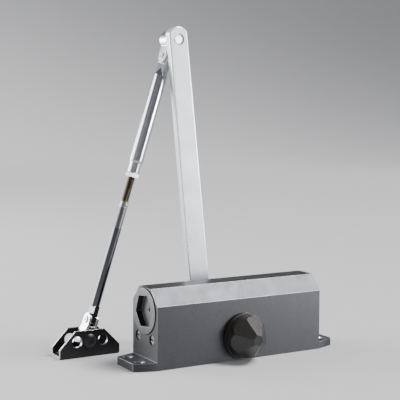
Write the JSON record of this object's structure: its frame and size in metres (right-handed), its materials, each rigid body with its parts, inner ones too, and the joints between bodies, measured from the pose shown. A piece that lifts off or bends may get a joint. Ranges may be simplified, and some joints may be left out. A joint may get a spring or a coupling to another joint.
{
  "type": "door closer",
  "caption": "Surface door closer: chamfered hydraulic body with feet, rack and pinion inside, cranked main arm, adjustable forearm and channel bracket for the frame.",
  "frame": {"origin": "centre of the body's four fixing holes, on its mounting face", "axes": "+Z away from the mounting face, +X along the body towards its spring end (away from the end with the two valve screws), +Y towards the arms"},
  "size_m": [0.211, 0.1045, 0.2535],
  "materials": {
    "body_paint": "die-cast aluminium with fine-grained silver metallic paint",
    "plug_paint": "the same silver paint on a turned steel plug",
    "valve_steel": "turned steel",
    "seal_rubber": "nitrile rubber",
    "bearing_bronze": "sintered bronze",
    "retainer_steel": "zinc-plated steel",
    "cap_plastic": "warm dark grey moulded plastic, satin",
    "piston_iron": "machined iron",
    "spring_steel": "oiled spring steel",
    "ball_steel": "polished bearing steel",
    "pinion_steel": "hardened steel",
    "arm_paint": "silver paint with rounded bright edges",
    "bright_zinc": "bright zinc-plated pressed steel",
    "tube_chrome": "polished plated steel",
    "rod_chrome": "polished plated steel with a yellow zinc thread",
    "screw_steel": "zinc-plated screw",
    "bracket_steel": "dark silver-brown painted pressed steel"
  },
  "bodies": {
    "closer_body": {"housing": "body_paint", "end_plug_left": "plug_paint", "end_plug_right": "plug_paint", "plug_o_ring_left": "seal_rubber", "plug_o_ring_right": "seal_rubber", "bearing_front": "bearing_bronze", "bearing_back": "bearing_bronze", "shaft_seal_front": "seal_rubber", "shaft_seal_back": "seal_rubber", "bearing_retainer_front": "retainer_steel", "bearing_retainer_back": "retainer_steel", "main_spring": "spring_steel"},
    "piston_group": {"piston": "piston_iron", "piston_seal": "seal_rubber", "check_valve_ball": "ball_steel", "check_valve_cage": "valve_steel", "spring_seat": "retainer_steel"},
    "sweep_valve": {"sweep_valve_screw": "valve_steel", "sweep_valve_o_ring": "seal_rubber"},
    "latch_valve": {"latch_valve_screw": "valve_steel", "latch_valve_o_ring": "seal_rubber"},
    "cap": {"pinion_cap": "cap_plastic"},
    "main_arm_group": {"pinion_shaft": "pinion_steel", "main_arm": "arm_paint", "arm_washer": "bright_zinc", "arm_screw": "screw_steel", "elbow_pin": "bright_zinc", "elbow_washer": "bright_zinc"},
    "knuckle_group": {"elbow_knuckle": "bright_zinc", "elbow_bushing": "bearing_bronze", "knuckle_rivet": "bright_zinc"},
    "forearm": {"forearm_tube": "tube_chrome"},
    "nut": {"lock_nut": "bright_zinc"},
    "rod": {"threaded_rod": "rod_chrome"},
    "yoke_group": {"lower_yoke": "bright_zinc", "yoke_rivet": "bright_zinc", "yoke_bushing": "bearing_bronze"},
    "bracket_group": {"frame_bracket": "bracket_steel", "bracket_pin": "bracket_steel", "bracket_pin_clip": "retainer_steel"}
  },
  "joints": [
    {"name": "pinion_turn", "type": "hinge", "parent": "closer_body", "child": "main_arm_group", "pos_m": [0.0015, 0, 0.0185], "axis": [0, 1, 0], "range_deg": [0, 170]},
    {"name": "piston_slide", "type": "slide", "parent": "closer_body", "child": "piston_group", "axis": [1, 0, 0], "range_m": [0, 0.0268], "deforming": ["main_spring"]},
    {"name": "sweep_valve_turn", "type": "hinge", "parent": "closer_body", "child": "sweep_valve", "pos_m": [-0.073, -0.0108, 0.0213], "axis": [1, 0, 0], "range_deg": [-360, 360]},
    {"name": "latch_valve_turn", "type": "hinge", "parent": "closer_body", "child": "latch_valve", "pos_m": [-0.073, 0.0108, 0.0213], "axis": [1, 0, 0], "range_deg": [-360, 360]},
    {"name": "cap_pull", "type": "slide", "parent": "closer_body", "child": "cap", "axis": [0, -1, 0], "range_m": [0, 0.03]},
    {"name": "elbow", "type": "hinge", "parent": "main_arm_group", "child": "knuckle_group", "pos_m": [-0.022, 0.0536, 0.24358], "axis": [0, 1, 0], "range_deg": [-10, 150]},
    {"name": "forearm_tilt", "type": "hinge", "parent": "knuckle_group", "child": "forearm", "pos_m": [-0.02651, 0.0536, 0.22959], "axis": [0.9517, 0, -0.3069], "range_deg": [0, 20]},
    {"name": "lock_nut_turn", "type": "hinge", "parent": "forearm", "child": "nut", "pos_m": [-0.05604, 0.0536, 0.13803], "axis": [0.3069, 0, 0.9517], "continuous": true},
    {"name": "forearm_length", "type": "slide", "parent": "forearm", "child": "rod", "axis": [-0.3069, 0, -0.9517], "range_m": [-0.018, 0.02]},
    {"name": "yoke_tilt", "type": "hinge", "parent": "rod", "child": "yoke_group", "pos_m": [-0.09204, 0.0536, 0.02639], "axis": [-0.9517, 0, 0.3069], "range_deg": [-15, 15]},
    {"name": "bracket_pivot", "type": "hinge", "parent": "yoke_group", "child": "bracket_group", "pos_m": [-0.09655, 0.0536, 0.0124], "axis": [0, 1, 0], "range_deg": [-60, 95]}
  ],
  "couplings": [
    {"joint": "piston_slide", "follows": "pinion_turn", "m_per_rad": 0.009}
  ]
}
